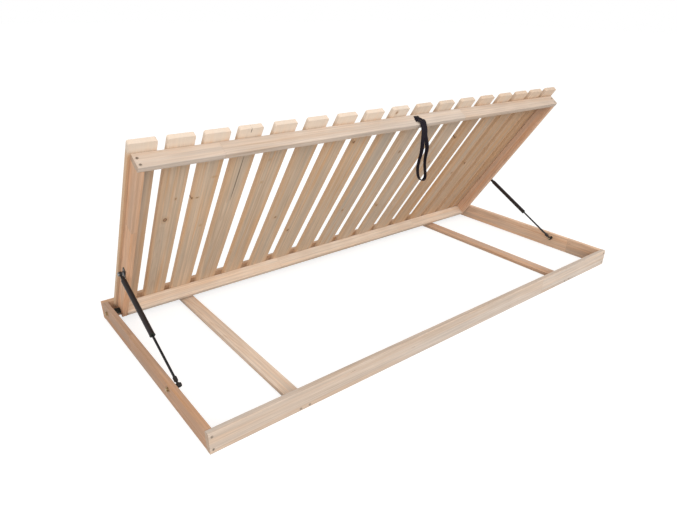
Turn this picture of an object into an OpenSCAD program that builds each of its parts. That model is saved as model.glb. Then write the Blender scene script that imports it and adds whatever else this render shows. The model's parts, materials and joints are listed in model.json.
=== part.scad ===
// Side-opening slatted bed base with two gas struts and a pull strap.
// X runs along the length, Y from the opening front to the hinged back, Z up.
// The origin is the middle of the base frame's footprint on the floor.
// The panel is drawn shut, with the pivot axis as its own origin, and is then opened.

/* [Base frame] */
// Outer length of the base frame
base_l = 2000; // [1600:10:2200]
// Outer width of the base frame
base_w = 900; // [750:10:1200]
// Height of the base rails
rail_h = 70; // [66:1:90]
// Thickness of the base rails
rail_t = 20; // [16:1:28]
// Width of a crossbar
crossbar_w = 50; // [44:1:90]
// Thickness of a crossbar
crossbar_t = 16; // [12:0.5:17]
// From the frame's end to the near edge of a crossbar
crossbar_inset = 280; // [150:5:450]
// Rounding along the edges of all boards
edge_r = 2.5; // [1:0.5:4]

/* [Slat panel] */
// Opening angle of the panel, in degrees
open_angle = 55; // [35:1:60]
// Gap between the base rails' top and the shut panel's slats
seat_gap = 0.5; // [0.3:0.1:2]
// From the base frame's back face to the pivot axis
pivot_back = 65; // [64:1:90]
// From the top of the panel's rails down to the pivot axis
pivot_drop = 25.5; // [22:0.5:28]
// How far the panel's back rail reaches behind the pivot axis
panel_tail = 12; // [9:0.5:13]
// From the base frame's front face to the shut panel's front rail
front_setback = 35; // [31:1:60]
// Height of the panel's rails
panel_rail_h = 50; // [44:0.5:51]
// Thickness of the panel's rails
panel_rail_t = 20; // [18:1:26]
// Gap between a base side rail and the panel's end rail
side_gap = 26; // [25:0.5:34]

/* [Slats] */
// Number of slats
slat_n = 17; // [12:1:18]
// Width of a slat
slat_w = 80; // [60:1:90]
// Thickness of a slat
slat_t = 16; // [12:0.5:19]
// From the base frame's end to the outermost slat
slat_inset = 37; // [22:1:40]
// Number of narrower gaps at each end of the panel
narrow_n = 3; // [1:1:4]
// How much narrower these gaps are than the others
gap_drop = 13.4; // [0:0.2:14]
// Radius of a slat's corners at its free end
slat_corner_r = 7; // [4:1:24]

/* [Pivots and bolts] */
// Shank diameter of the pivot bolts and of the strut bolts
bolt_d = 8; // [6:0.5:8]
// Width across the flats of a bolt's head
hex_w = 13; // [10:0.5:14]
// Height of a bolt's head
hex_h = 5.3; // [4:0.1:7]
// Diameter of a bolt's washer
washer_d = 20; // [16:0.5:24]
// Thickness of a bolt's washer
washer_t = 1.6; // [1:0.1:2.5]
// Diameter of the pivot spacer
spacer_d = 22; // [18:0.5:24]
// Radial clearance of a turning or sliding fit
running_gap = 0.05; // [0.02:0.01:0.1]
// Clearance between faces that turn past each other
face_gap = 0.3; // [0.2:0.05:0.5]
// How far the pivot bolt reaches past the panel's end rail
pivot_bite = 34; // [25:1:50]

/* [Gas struts] */
// Diameter of the tube
tube_d = 18; // [15:0.5:20]
// Wall of the tube
tube_wall = 1.5; // [1:0.1:2]
// Diameter of the rod
rod_d = 8; // [6:0.5:10]
// From the pivot axis to the lower eye, along the shut panel
strut_low_u = 565; // [540:5:620]
// From the base rails' top down to the lower eye
strut_low_drop = 20; // [16:1:30]
// From the pivot axis to the upper eye, along the panel
strut_up_u = 265; // [240:5:285]
// From the top of the panel's rails down to the upper eye
strut_up_drop = 30.5; // [26:0.5:34]
// Outer diameter of an eye
eye_d = 16.5; // [16:0.5:22]
// Thickness of an eye
eye_t = 8; // [6:0.5:10]
// From an eye's middle to the end of its ferrule
fitting_l = 30; // [26:1:36]
// Width of the square ferrule
ferrule_w = 11; // [11:0.5:14]
// Length of the seal in the tube's mouth
gland_l = 12; // [8:1:16]
// Length of the piston
piston_l = 8; // [5:1:12]
// Gap between ferrule and tube with the strut pushed in
end_gap = 3; // [2:0.5:6]
// Thickness of the bracket plate
bracket_t = 2; // [1.5:0.1:3]
// Length of the bracket plate
bracket_l = 46; // [42:1:60]
// Width of the bracket plate
bracket_w = 22; // [18:1:26]

/* [Pull strap] */
// From the middle of the frame to the strap
strap_x = 85; // [75:5:95]
// Width of the webbing
webbing_w = 15; // [12:0.5:18]
// Thickness of the webbing
webbing_t = 2; // [1.5:0.1:2.5]
// From the hinge line of the strap to its lowest point
strap_hang = 207; // [190:1:240]
// Length over which the two strands lie flat, side by side
strap_neck = 45; // [30:1:60]
// Radius of the loop at its lowest point
loop_r = 20; // [14:0.5:22]
// From the top of the front rail down to the fixed part
strap_top_drop = 5; // [3:0.5:10]

/* [Screws] */
// Shank diameter of the frame screws
screw_d = 4.5; // [3.5:0.1:5]
// Head diameter of the frame screws
screw_head_d = 9; // [8:0.1:9.5]
// Length of the frame screws
screw_l = 60; // [50:1:80]
// Shank diameter of the slat screws
slat_screw_d = 4; // [3:0.1:4]
// Head diameter of the slat screws
slat_screw_head_d = 8; // [7:0.1:8]
// Length of the slat screws
slat_screw_l = 30; // [24:0.5:30]
// Distance between the two screws at a corner of the base frame
corner_spread = 44; // [30:1:46]
// Distance between the two screws at a crossbar's end
crossbar_spread = 32; // [20:1:34]
// Distance between the two slat screws at a crossing
slat_screw_spread = 44; // [30:1:50]
// Least distance from a slat screw to the end of the panel's rails
screw_edge = 10; // [8:0.5:14]
// Length of the bracket and strap screws
short_screw_l = 16; // [12:0.5:18]

/* [Hidden] */
$fn = 48;
// How far a cut reaches past the face that it opens, and how far joined solids overlap
over = 1;
front_y = -base_w / 2;
back_y = base_w / 2;
side_in = base_l / 2 - rail_t;
panel_x = side_in - side_gap;
strut_x = side_in - side_gap / 2;

// Pivot axis in the frame, and the panel's rails and slats about it
pivot_y = back_y - pivot_back;
pivot_z = rail_h + seat_gap - pivot_drop;
rail_top = pivot_drop;
rail_low = pivot_drop - panel_rail_h;
front_u = base_w - pivot_back - front_setback;
slat_end_u = base_w - pivot_back;
front_row_u = front_u - panel_rail_t / 2;
back_row_u = panel_rail_t / 2 - panel_tail;
end_row_us = [for (k = [1:3]) front_u * k / 4];
slat_pitch = (base_l - 2 * slat_inset - slat_w + 2 * narrow_n * gap_drop) / (slat_n - 1);

// Screw rows in the edge of the panel's rails, clear of the slat screws' tips
tip_clear = 1.25;
low_row_rise = 9;
upper_screw_v = rail_top + slat_t - slat_screw_l - screw_d / 2 - tip_clear;
lower_screw_v = rail_low + low_row_rise;
bar_x = base_l / 2 - crossbar_inset - crossbar_w / 2;

// Strut: lower and upper eye in the frame, its slope and its two lengths
low_y = pivot_y - strut_low_u;
low_z = rail_h - strut_low_drop;
strut_up_v = pivot_drop - strut_up_drop;
up_y = pivot_y - strut_up_u * cos(open_angle) + strut_up_v * sin(open_angle);
up_z = pivot_z + strut_up_u * sin(open_angle) + strut_up_v * cos(open_angle);
strut_angle = atan2(up_z - low_z, up_y - low_y);
open_l = norm([up_y - low_y, up_z - low_z]);
shut_l = norm([strut_low_u - strut_up_u, pivot_z + strut_up_v - low_z]);
gland_rim_l = 3;
gland_rim_step = 0.6;
tube_start = open_l - shut_l + fitting_l + end_gap + gland_rim_l;
tube_end = open_l - fitting_l;
tube_in_r = tube_d / 2 - tube_wall;
tube_cap = 3;
stub_l = 10;
piston_play = 1;
piston_start = tube_start + gland_l + piston_play;
rod_end = piston_start + piston_l;
ferrule_start = 15;
ferrule_round_d = ferrule_w * 1.25;
neck_step = 0.6;
neck_r = eye_t / 2 - neck_step;
neck_bite = 2;
stud_head_h = 4.5;
stud_collar_r = 7;
nut_h = 4;
sleeve_r = 7;
bolt_tip_l = 1;
coach_tip_l = 6;
bracket_hole_edge = 7;
bracket_corner_r = 4;

// Strap: fixed part and hinge line in the panel, loop hanging in the frame
// Shut, the loop lies flat in the middle of the space under the front rail
hinge_u = front_u + webbing_t / 2;
hinge_v = rail_low - (pivot_z + rail_low) / 2;
hinge_y = pivot_y - hinge_u * cos(open_angle) + hinge_v * sin(open_angle);
hinge_z = pivot_z + hinge_u * sin(open_angle) + hinge_v * cos(open_angle);
tab_top_v = rail_top - strap_top_drop;
strap_screw_drop = 12;
strap_screw_v = tab_top_v - strap_screw_drop;
strap_washer_t = 1.2;
strap_washer_d = 12;
strap_head_h = 2.4;
strap_head_d = 9;
strap_head_top_d = 5.4;
loop_tip_angle = asin(loop_r / (strap_hang - loop_r - strap_neck));
neck_l = strap_neck + webbing_t / sin(loop_tip_angle);

wood = [0.84, 0.73, 0.60];
wood_side = [0.79, 0.66, 0.51];
slat_wood = [0.82, 0.69, 0.54];
zinc = [0.72, 0.72, 0.74];
black = [0.13, 0.12, 0.12];
webbing = [0.19, 0.15, 0.19];

function two_digits(i) = i < 10 ? str("0", i) : str(i);
function slat_name(i) = str("slat_", two_digits(i));
function narrow_gaps_before(i) = min(i - 1, narrow_n) + max(0, i - slat_n + narrow_n);
function slat_x(i) = -base_l / 2 + slat_inset + slat_w / 2 + (i - 1) * slat_pitch
    - narrow_gaps_before(i) * gap_drop;
function kept_on_rail(x) = max(screw_edge - panel_x, min(panel_x - screw_edge, x));

STRUT_PARTS = ["strut_rod", "strut_rod_eye", "strut_tube", "strut_gland", "strut_tube_eye", "strut_stud"];
SIDES = ["left", "right"];

// Rectangle with its lower left corner at the origin and rounded corners
module rounded_rect(w, h, r) {
    translate([r, 0]) square([w - 2 * r, h]);
    translate([0, r]) square([w, h - 2 * r]);
    for (x = [r, w - r]) for (y = [r, h - r]) translate([x, y]) circle(r);
}

// Boards with rounded long edges, from the origin along X or along Y
module board_x(l, w, h) {
    rotate([90, 0, 90]) linear_extrude(l) rounded_rect(w, h, edge_r);
}

module board_y(l, w, h) {
    translate([0, l, 0]) rotate([90, 0, 0]) linear_extrude(l) rounded_rect(w, h, edge_r);
}

// Places a piece drawn for the right side on the right or, mirrored, on the left
module on_side(side) {
    if (side == "right") children();
    else mirror([1, 0, 0]) children();
}

module on_both_sides() {
    for (s = SIDES) on_side(s) children();
}

// The panel's frame: pivot axis at the origin, front towards -Y when shut
module in_panel() {
    translate([0, pivot_y, pivot_z]) rotate([-open_angle, 0, 0]) children();
}

// The strut's frame: lower eye at the origin, upper eye along +Y
module on_strut() {
    translate([strut_x, low_y, low_z]) rotate([strut_angle, 0, 0]) children();
}

// Round bar along X between two places
module bar_x_between(x0, x1, r) {
    translate([x0, 0, 0]) rotate([0, 90, 0]) cylinder(h = x1 - x0, r = r);
}

// Round bar along Y between two places
module bar_y_between(y0, y1, r) {
    translate([0, y1, 0]) rotate([90, 0, 0]) cylinder(h = y1 - y0, r = r);
}

// Countersunk screw, head flush at the origin and tip towards -Z
module screw_body(l, d, head_d) {
    head_h = (head_d - d) / 2;
    translate([0, 0, -head_h]) cylinder(h = head_h, d1 = d, d2 = head_d);
    translate([0, 0, d - l]) cylinder(h = l - d - head_h, d = d);
    translate([0, 0, -l]) cylinder(h = d, d1 = d / 5, d2 = d);
}

module countersunk_screw(l, d, head_d) {
    recess_l = head_d / 2;
    recess_w = 1;
    recess_depth = 1.6;
    difference() {
        screw_body(l, d, head_d);
        for (a = [0, 90]) rotate(a) translate([-recess_l / 2, -recess_w / 2, -recess_depth])
            cube([recess_l, recess_w, recess_depth + over]);
    }
}

module frame_screw_body() {
    screw_body(screw_l, screw_d, screw_head_d);
}

module frame_screw() {
    countersunk_screw(screw_l, screw_d, screw_head_d);
}

module slat_screw_body() {
    screw_body(slat_screw_l, slat_screw_d, slat_screw_head_d);
}

// Heads on the front and back faces of the base, at X places and Z places
module at_base_faces(xs, zs) {
    for (x = xs) for (z = zs) {
        translate([x, front_y, z]) rotate([90, 0, 0]) children();
        translate([x, back_y, z]) rotate([-90, 0, 0]) children();
    }
}

module at_base_corners() {
    side_mid = base_l / 2 - rail_t / 2;
    at_base_faces([-side_mid, side_mid], [for (k = [-1, 1]) rail_h / 2 + k * corner_spread / 2]) children();
}

module at_crossbar_ends() {
    xs = [for (s = [-1, 1]) for (k = [-1, 1]) s * bar_x + k * crossbar_spread / 2];
    at_base_faces(xs, [crossbar_t / 2]) children();
}

module base_face_rail(y) {
    color(wood) difference() {
        translate([-base_l / 2, y, 0]) board_x(base_l, rail_t, rail_h);
        at_base_corners() frame_screw_body();
        at_crossbar_ends() frame_screw_body();
    }
}

module base_front_rail() {
    base_face_rail(front_y);
}

module base_back_rail() {
    base_face_rail(back_y - rail_t);
}

module base_side_rail(side) {
    color(wood_side) difference() {
        on_side(side) difference() {
            translate([side_in, front_y + rail_t, 0]) board_y(base_w - 2 * rail_t, rail_t, rail_h);
            translate([0, pivot_y, pivot_z])
                bar_x_between(side_in - over, base_l / 2 + over, bolt_d / 2 + running_gap);
            translate([0, low_y, low_z]) bar_x_between(side_in - over, base_l / 2 + over, bolt_d / 2);
        }
        at_base_corners() frame_screw_body();
    }
}

module base_left_rail() {
    base_side_rail("left");
}

module base_right_rail() {
    base_side_rail("right");
}

module crossbar(side) {
    color(wood_side) difference() {
        on_side(side) translate([bar_x - crossbar_w / 2, front_y + rail_t, 0])
            board_y(base_w - 2 * rail_t, crossbar_w, crossbar_t);
        at_crossbar_ends() frame_screw_body();
    }
}

module left_crossbar() {
    crossbar("left");
}

module right_crossbar() {
    crossbar("right");
}

module base_corner_screws() {
    color(zinc) at_base_corners() frame_screw();
}

module crossbar_screws() {
    color(zinc) at_crossbar_ends() frame_screw();
}

// Hexagon head or nut, from the origin along Z, its far end chamfered
module hex_block(h) {
    chamfer_slope = 1.7;
    intersection() {
        cylinder(h = h, d = hex_w / cos(30), $fn = 6);
        cylinder(h = h, d1 = hex_w + 2 * chamfer_slope * h, d2 = hex_w);
    }
}

// Hexagon bolt along X with its washer, head outwards from the place x0, tip at x1
module hex_bolt(x0, x1, tip_l) {
    bar_x_between(x0, x0 + washer_t, washer_d / 2);
    translate([x0 + washer_t, 0, 0]) rotate([0, 90, 0]) hex_block(hex_h);
    bar_x_between(x1 + tip_l, x0 + washer_t, bolt_d / 2);
    translate([x1, 0, 0]) rotate([0, 90, 0]) cylinder(h = tip_l, d1 = bolt_d - 2 * tip_l / 3, d2 = bolt_d);
}

module strut_lower_bolts() {
    bolt_end = strut_x - eye_t / 2 - face_gap - nut_h - bolt_tip_l;
    color(zinc) on_both_sides() translate([0, low_y, low_z]) hex_bolt(base_l / 2, bolt_end, bolt_tip_l);
}

module strut_lower_spacers() {
    color(black) on_both_sides() translate([0, low_y, low_z]) difference() {
        bar_x_between(strut_x + eye_t / 2 + face_gap, side_in, sleeve_r);
        bar_x_between(strut_x, side_in + over, bolt_d / 2);
    }
}

module strut_lower_nuts() {
    nut_x = strut_x - eye_t / 2 - face_gap;
    color(zinc) on_both_sides() translate([0, low_y, low_z]) difference() {
        translate([nut_x, 0, 0]) rotate([0, -90, 0]) hex_block(nut_h);
        bar_x_between(nut_x - nut_h - over, nut_x + over, bolt_d / 2);
    }
}

// Slat screws of one slat along one rail row
module at_slat_row(i, u) {
    for (k = [-1, 1])
        translate([kept_on_rail(slat_x(i) + k * slat_screw_spread / 2), -u, rail_top + slat_t]) children();
}

// Screws that hold an outermost slat along the panel's end rail
module at_end_row(side) {
    on_side(side) for (u = end_row_us)
        translate([panel_x - panel_rail_t / 2, -u, rail_top + slat_t]) children();
}

// Screws through the front rail into the end rails, and through the end rails into the back rail
module at_panel_corners() {
    on_both_sides() {
        for (v = [lower_screw_v, upper_screw_v])
            translate([panel_x - panel_rail_t / 2, -front_u, v]) rotate([90, 0, 0]) children();
        translate([panel_x, -back_row_u, lower_screw_v]) rotate([0, 90, 0]) children();
    }
}

module at_bracket_holes() {
    hole_u = bracket_l / 2 - bracket_hole_edge;
    for (k = [-1, 1])
        translate([panel_x + bracket_t, -strut_up_u + k * hole_u, strut_up_v])
            rotate([0, 90, 0]) children();
}

module bracket_screw_body() {
    screw_body(short_screw_l, slat_screw_d, slat_screw_head_d);
}

module pivot_bolt_body() {
    hex_bolt(base_l / 2 + face_gap, panel_x - panel_rail_t - pivot_bite, coach_tip_l);
}

// Round-head screw of the strap, its washer on the webbing at the origin and its tip towards -Z
module strap_screw_shank() {
    shank_l = short_screw_l - slat_screw_d;
    translate([0, 0, -shank_l]) cylinder(h = shank_l + strap_washer_t, d = slat_screw_d);
    translate([0, 0, -short_screw_l]) cylinder(h = slat_screw_d, d1 = slat_screw_d / 5, d2 = slat_screw_d);
}

module at_strap_screw() {
    translate([strap_x, -front_u - webbing_t, strap_screw_v]) rotate([90, 0, 0]) children();
}

module panel_front_rail() {
    color(wood) in_panel() difference() {
        translate([-panel_x, -front_u, rail_low]) board_x(2 * panel_x, panel_rail_t, panel_rail_h);
        at_panel_corners() frame_screw_body();
        for (i = [1:slat_n]) at_slat_row(i, front_row_u) slat_screw_body();
        at_strap_screw() strap_screw_shank();
    }
}

module panel_back_rail() {
    end_x = panel_x - panel_rail_t;
    color(wood_side) in_panel() difference() {
        translate([-end_x, panel_tail - panel_rail_t, rail_low])
            board_x(2 * end_x, panel_rail_t, panel_rail_h);
        at_panel_corners() frame_screw_body();
        for (i = [1:slat_n]) at_slat_row(i, back_row_u) slat_screw_body();
        on_both_sides() pivot_bolt_body();
    }
}

module panel_end_rail(side) {
    rail_l = front_u - panel_rail_t + panel_tail;
    edge_slat = side == "left" ? 1 : slat_n;
    color(wood_side) in_panel() difference() {
        on_side(side) difference() {
            translate([panel_x - panel_rail_t, panel_rail_t - front_u, rail_low])
                board_y(rail_l, panel_rail_t, panel_rail_h);
            pivot_bolt_body();
            at_bracket_holes() bracket_screw_body();
        }
        at_panel_corners() frame_screw_body();
        at_end_row(side) slat_screw_body();
        at_slat_row(edge_slat, back_row_u) slat_screw_body();
    }
}

module panel_left_rail() {
    panel_end_rail("left");
}

module panel_right_rail() {
    panel_end_rail("right");
}

// Outline of a slat seen from above, its free end rounded at both corners
module slat_plan(l) {
    translate([0, slat_corner_r]) square([slat_w, l - slat_corner_r]);
    translate([slat_corner_r, 0]) square([slat_w - 2 * slat_corner_r, l]);
    for (x = [slat_corner_r, slat_w - slat_corner_r]) translate([x, slat_corner_r]) circle(slat_corner_r);
}

module slat(i) {
    slat_l = slat_end_u + panel_tail;
    color(slat_wood) in_panel() difference() {
        translate([slat_x(i) - slat_w / 2, -slat_end_u, rail_top]) intersection() {
            board_y(slat_l, slat_w, slat_t);
            linear_extrude(slat_t) slat_plan(slat_l);
        }
        at_slat_row(i, front_row_u) slat_screw_body();
        at_slat_row(i, back_row_u) slat_screw_body();
        if (i == 1) at_end_row("left") slat_screw_body();
        if (i == slat_n) at_end_row("right") slat_screw_body();
    }
}

module panel_corner_screws() {
    color(zinc) in_panel() at_panel_corners() frame_screw();
}

module slat_screws() {
    color(zinc) in_panel() {
        for (i = [1:slat_n]) for (u = [front_row_u, back_row_u])
            at_slat_row(i, u) countersunk_screw(slat_screw_l, slat_screw_d, slat_screw_head_d);
        for (s = SIDES) at_end_row(s) countersunk_screw(slat_screw_l, slat_screw_d, slat_screw_head_d);
    }
}

// Coach bolt on which the panel turns, screwed into the back rail's end
module pivot_bolt(side) {
    color(zinc) in_panel() on_side(side) pivot_bolt_body();
}

module pivot_spacer(side) {
    color(black) in_panel() on_side(side) difference() {
        bar_x_between(panel_x, side_in - face_gap, spacer_d / 2);
        bar_x_between(panel_x - over, side_in, bolt_d / 2);
    }
}

// Plate for the upper eye, on the outer face of the panel's end rail
module strut_bracket(side) {
    color(zinc) in_panel() on_side(side) difference() {
        translate([panel_x, -strut_up_u - bracket_l / 2, strut_up_v - bracket_w / 2])
            rotate([90, 0, 90]) linear_extrude(bracket_t)
                rounded_rect(bracket_l, bracket_w, bracket_corner_r);
        at_bracket_holes() bracket_screw_body();
    }
}

module strut_bracket_screws() {
    color(zinc) in_panel() on_both_sides() at_bracket_holes()
        countersunk_screw(short_screw_l, slat_screw_d, slat_screw_head_d);
}

// Eye with its square ferrule, the eye's middle at the origin and the ferrule along +Y
module eye_fitting(hole_r) {
    difference() {
        union() {
            bar_x_between(-eye_t / 2, eye_t / 2, eye_d / 2);
            bar_y_between(eye_d / 2 - neck_bite, ferrule_start + over, neck_r);
            translate([0, fitting_l, 0]) rotate([90, 0, 0]) linear_extrude(fitting_l - ferrule_start)
                intersection() {
                    square(ferrule_w, center = true);
                    circle(d = ferrule_round_d);
                }
        }
        bar_x_between(-eye_t, eye_t, bolt_d / 2 + running_gap);
        bar_y_between(fitting_l - stub_l, fitting_l + over, hole_r);
    }
}

module strut_rod(side) {
    color(zinc) on_side(side) on_strut() {
        bar_y_between(fitting_l - stub_l, piston_start, rod_d / 2);
        bar_y_between(piston_start, rod_end, tube_in_r - running_gap);
    }
}

module strut_rod_eye(side) {
    color(black) on_side(side) on_strut() eye_fitting(rod_d / 2);
}

module strut_tube(side) {
    color(black) on_side(side) on_strut() {
        difference() {
            bar_y_between(tube_start, tube_end, tube_d / 2);
            bar_y_between(tube_start - over, tube_end - tube_cap, tube_in_r);
        }
        bar_y_between(tube_end - over, tube_end + stub_l, bolt_d / 2);
    }
}

// Seal and rod guide in the tube's mouth, with a rim over the tube's end
module strut_gland(side) {
    color(black) on_side(side) on_strut() difference() {
        union() {
            bar_y_between(tube_start - gland_rim_l, tube_start, tube_d / 2 + gland_rim_step);
            bar_y_between(tube_start - over, tube_start + gland_l, tube_in_r);
        }
        bar_y_between(tube_start - gland_rim_l - over, piston_start, rod_d / 2 + running_gap);
    }
}

module strut_tube_eye(side) {
    color(black) on_side(side) on_strut()
        translate([0, open_l, 0]) rotate([180, 0, 0]) eye_fitting(bolt_d / 2);
}

// Stud with a collar and a round head, a face gap away from the bracket plate
module strut_stud(side) {
    base_x = panel_x + bracket_t + face_gap - strut_x;
    color(zinc) on_side(side) on_strut() translate([0, open_l, 0]) {
        bar_x_between(base_x, -eye_t / 2, stud_collar_r);
        bar_x_between(-eye_t / 2, eye_t / 2, bolt_d / 2);
        bar_x_between(eye_t / 2, eye_t / 2 + stud_head_h, hex_w / 2);
    }
}

// Both ends of the webbing, side by side, fixed to the front rail's face
module strap_tab() {
    tab_low_v = hinge_v + webbing_t / 2 + face_gap;
    color(webbing) in_panel() difference() {
        translate([strap_x - webbing_w, -front_u - webbing_t, tab_low_v])
            cube([2 * webbing_w, webbing_t, tab_top_v - tab_low_v]);
        at_strap_screw() strap_screw_shank();
    }
}

module strap_screw() {
    color(zinc) in_panel() at_strap_screw() {
        strap_screw_shank();
        cylinder(h = strap_washer_t, d = strap_washer_d);
        translate([0, 0, strap_washer_t])
            cylinder(h = strap_head_h, d1 = strap_head_d, d2 = strap_head_top_d);
    }
}

// Drop-shaped area between two tangents from the tip and a circle of radius r
module drop_area(tip_angle, r) {
    tip = r / sin(tip_angle);
    side = tip * cos(tip_angle);
    circle(r);
    polygon([[0, tip], for (k = [-1, 1]) [k * side * sin(tip_angle), tip - side * cos(tip_angle)]]);
}

// Hand loop. Its two strands lie flat, side by side, down to the neck's end,
// and from there stand edgewise and part, to join in a round bend.
module strap_loop() {
    loop_z = hinge_z - strap_hang + loop_r;
    color(webbing) translate([strap_x, hinge_y, 0]) {
        translate([0, webbing_w / 2, loop_z]) rotate([90, 0, 0]) linear_extrude(webbing_w) difference() {
            drop_area(loop_tip_angle, loop_r);
            drop_area(loop_tip_angle, loop_r - webbing_t);
        }
        translate([-webbing_w, -webbing_t / 2, hinge_z - neck_l]) cube([2 * webbing_w, webbing_t, neck_l]);
        translate([0, 0, hinge_z]) bar_x_between(-webbing_w, webbing_w, webbing_t / 2);
    }
}

module side_part(side, part) {
    if (part == "pivot_bolt") pivot_bolt(side);
    if (part == "pivot_spacer") pivot_spacer(side);
    if (part == "strut_bracket") strut_bracket(side);
    if (part == "strut_rod") strut_rod(side);
    if (part == "strut_rod_eye") strut_rod_eye(side);
    if (part == "strut_tube") strut_tube(side);
    if (part == "strut_gland") strut_gland(side);
    if (part == "strut_tube_eye") strut_tube_eye(side);
    if (part == "strut_stud") strut_stud(side);
}

base_front_rail();
base_back_rail();
base_left_rail();
base_right_rail();
left_crossbar();
right_crossbar();
base_corner_screws();
crossbar_screws();
strut_lower_bolts();
strut_lower_spacers();
strut_lower_nuts();
panel_front_rail();
panel_back_rail();
panel_left_rail();
panel_right_rail();
panel_corner_screws();
slat_screws();
strut_bracket_screws();
strap_tab();
strap_screw();
strap_loop();
for (i = [1:slat_n]) slat(i);
for (s = SIDES) for (p = concat(["pivot_bolt", "pivot_spacer", "strut_bracket"], STRUT_PARTS))
    side_part(s, p);
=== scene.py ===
"""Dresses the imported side-opening slatted bed base in pine, zinc, black paint and webbing.

The frame gives every board, bolt and strut its shape and place. This script gives the
boards their grain, knots and finger joints, gives the metal and plastic their finishes,
models the webbing pull strap and sets up a plain studio.

All lengths are in metres, in the frame's own axes: X along the bed, Y from the opening
front to the hinged back, Z up.
"""

from __future__ import annotations

import json
import logging
import math
from dataclasses import dataclass, field
from enum import Enum

import bpy
from bpy.types import Material, Mesh, Node, NodeSocket as Socket, NodeTree, Object
from mathutils import Matrix, Vector

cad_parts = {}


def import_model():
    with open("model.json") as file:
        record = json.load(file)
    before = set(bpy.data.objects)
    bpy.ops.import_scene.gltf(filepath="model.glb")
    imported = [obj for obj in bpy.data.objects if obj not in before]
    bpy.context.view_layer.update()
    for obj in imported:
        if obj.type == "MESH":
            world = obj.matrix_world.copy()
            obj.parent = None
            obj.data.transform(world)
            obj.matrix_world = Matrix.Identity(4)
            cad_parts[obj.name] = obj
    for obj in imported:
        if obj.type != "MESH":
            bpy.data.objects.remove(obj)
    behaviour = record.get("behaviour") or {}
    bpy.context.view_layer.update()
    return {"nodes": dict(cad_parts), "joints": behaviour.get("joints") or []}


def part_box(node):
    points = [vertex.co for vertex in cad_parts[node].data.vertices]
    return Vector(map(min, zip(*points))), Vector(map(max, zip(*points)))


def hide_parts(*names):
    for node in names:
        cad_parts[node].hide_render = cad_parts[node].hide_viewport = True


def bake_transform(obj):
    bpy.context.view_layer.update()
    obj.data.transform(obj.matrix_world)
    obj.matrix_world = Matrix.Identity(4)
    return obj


log = logging.getLogger("bed_base")

MM = 0.001
X, Y, Z = Vector((1, 0, 0)), Vector((0, 1, 0)), Vector((0, 0, 1))

Colour = tuple[float, float, float]
Point = tuple[float, float, float]


class Sawing(Enum):
    """How a board was cut from its log, which sets the look of its rings."""

    FLAT = "flat"
    RIFT = "rift"
    HEART = "heart"


class KnotKind(Enum):
    """What a mark in the wood is, by how strongly its core and its bark rim show."""

    SOUND = (0.8, 0.25)
    DEAD = (0.8, 0.9)
    FAINT = (0.15, 0.0)
    CRACK = (0.0, 0.85)


class WoodNoise(Enum):
    """The noises in the wood.

    Each has its cycles per metre across the board, along it and through it, then its
    detail and its roughness.
    """

    DRIFT = ((9.0, 1.3, 9.0), 2.0, 0.5)
    FIBRE = ((900.0, 14.0, 900.0), 3.0, 0.6)
    STRAND = ((190.0, 2.4, 150.0), 2.0, 0.55)
    STREAK = ((52.0, 1.5, 40.0), 3.0, 0.6)
    GREY = ((30.0, 1.1, 22.0), 2.0, 0.5)
    PATCH = ((3.0, 4.0, 3.0), 2.0, 0.5)
    SIDE = ((38.0, 1.6, 38.0), 2.0, 0.5)


@dataclass(frozen=True)
class Knot:
    """A knot or a crack on a board's wide face.

    Attributes:
        along: Place along the board, from the board's middle, in millimetres.
        across: Place across the board, from its middle, in millimetres.
        half_width: Half of the mark's size across the board, in millimetres.
        half_length: Half of its size along the board, in millimetres.
        kind: What the mark is.
    """

    along: float
    across: float
    half_width: float
    half_length: float
    kind: KnotKind = KnotKind.SOUND


@dataclass(frozen=True)
class PineTone:
    """The colours of one batch of pine, in linear values.

    Attributes:
        early: The pale wood that grows in spring.
        late: The denser and darker wood at each ring's end.
        streak: Broad warm streaks along the board.
        grey: Broad cool streaks along the board.
    """

    early: Colour
    late: Colour
    streak: Colour
    grey: Colour

    def times(self, red: float, green: float, blue: float) -> PineTone:
        """The same timber, lighter or warmer: each colour times these shares."""
        kinds = (self.early, self.late, self.streak, self.grey)
        return PineTone(*((c[0] * red, c[1] * green, c[2] * blue) for c in kinds))


PALE_PINE = PineTone((0.74, 0.60, 0.48), (0.60, 0.42, 0.28), (0.71, 0.52, 0.37), (0.71, 0.60, 0.50))
WARM_PINE = PineTone((0.66, 0.46, 0.32), (0.52, 0.31, 0.18), (0.63, 0.38, 0.22), (0.60, 0.45, 0.34))
DEEP_PINE = PineTone((0.54, 0.35, 0.24), (0.42, 0.24, 0.14), (0.52, 0.30, 0.17), (0.48, 0.35, 0.27))
SLAT_PINE = PineTone((0.67, 0.51, 0.37), (0.51, 0.34, 0.21), (0.69, 0.43, 0.24), (0.60, 0.49, 0.38))
AMBER_PINE = PineTone((0.59, 0.42, 0.28), (0.44, 0.27, 0.16), (0.61, 0.36, 0.19), (0.53, 0.41, 0.31))
# Painted light: the colour that lightens the underside of a slat's free end, as if those tips caught more
# light.
PAINTED_LIT_END = (0.84, 0.73, 0.62)
KNOT_HALO = (0.50, 0.28, 0.12)
KNOT_CORE = (0.26, 0.12, 0.05)
KNOT_BARK = (0.07, 0.035, 0.02)
GLUE_LINE = (0.30, 0.17, 0.09)


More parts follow.
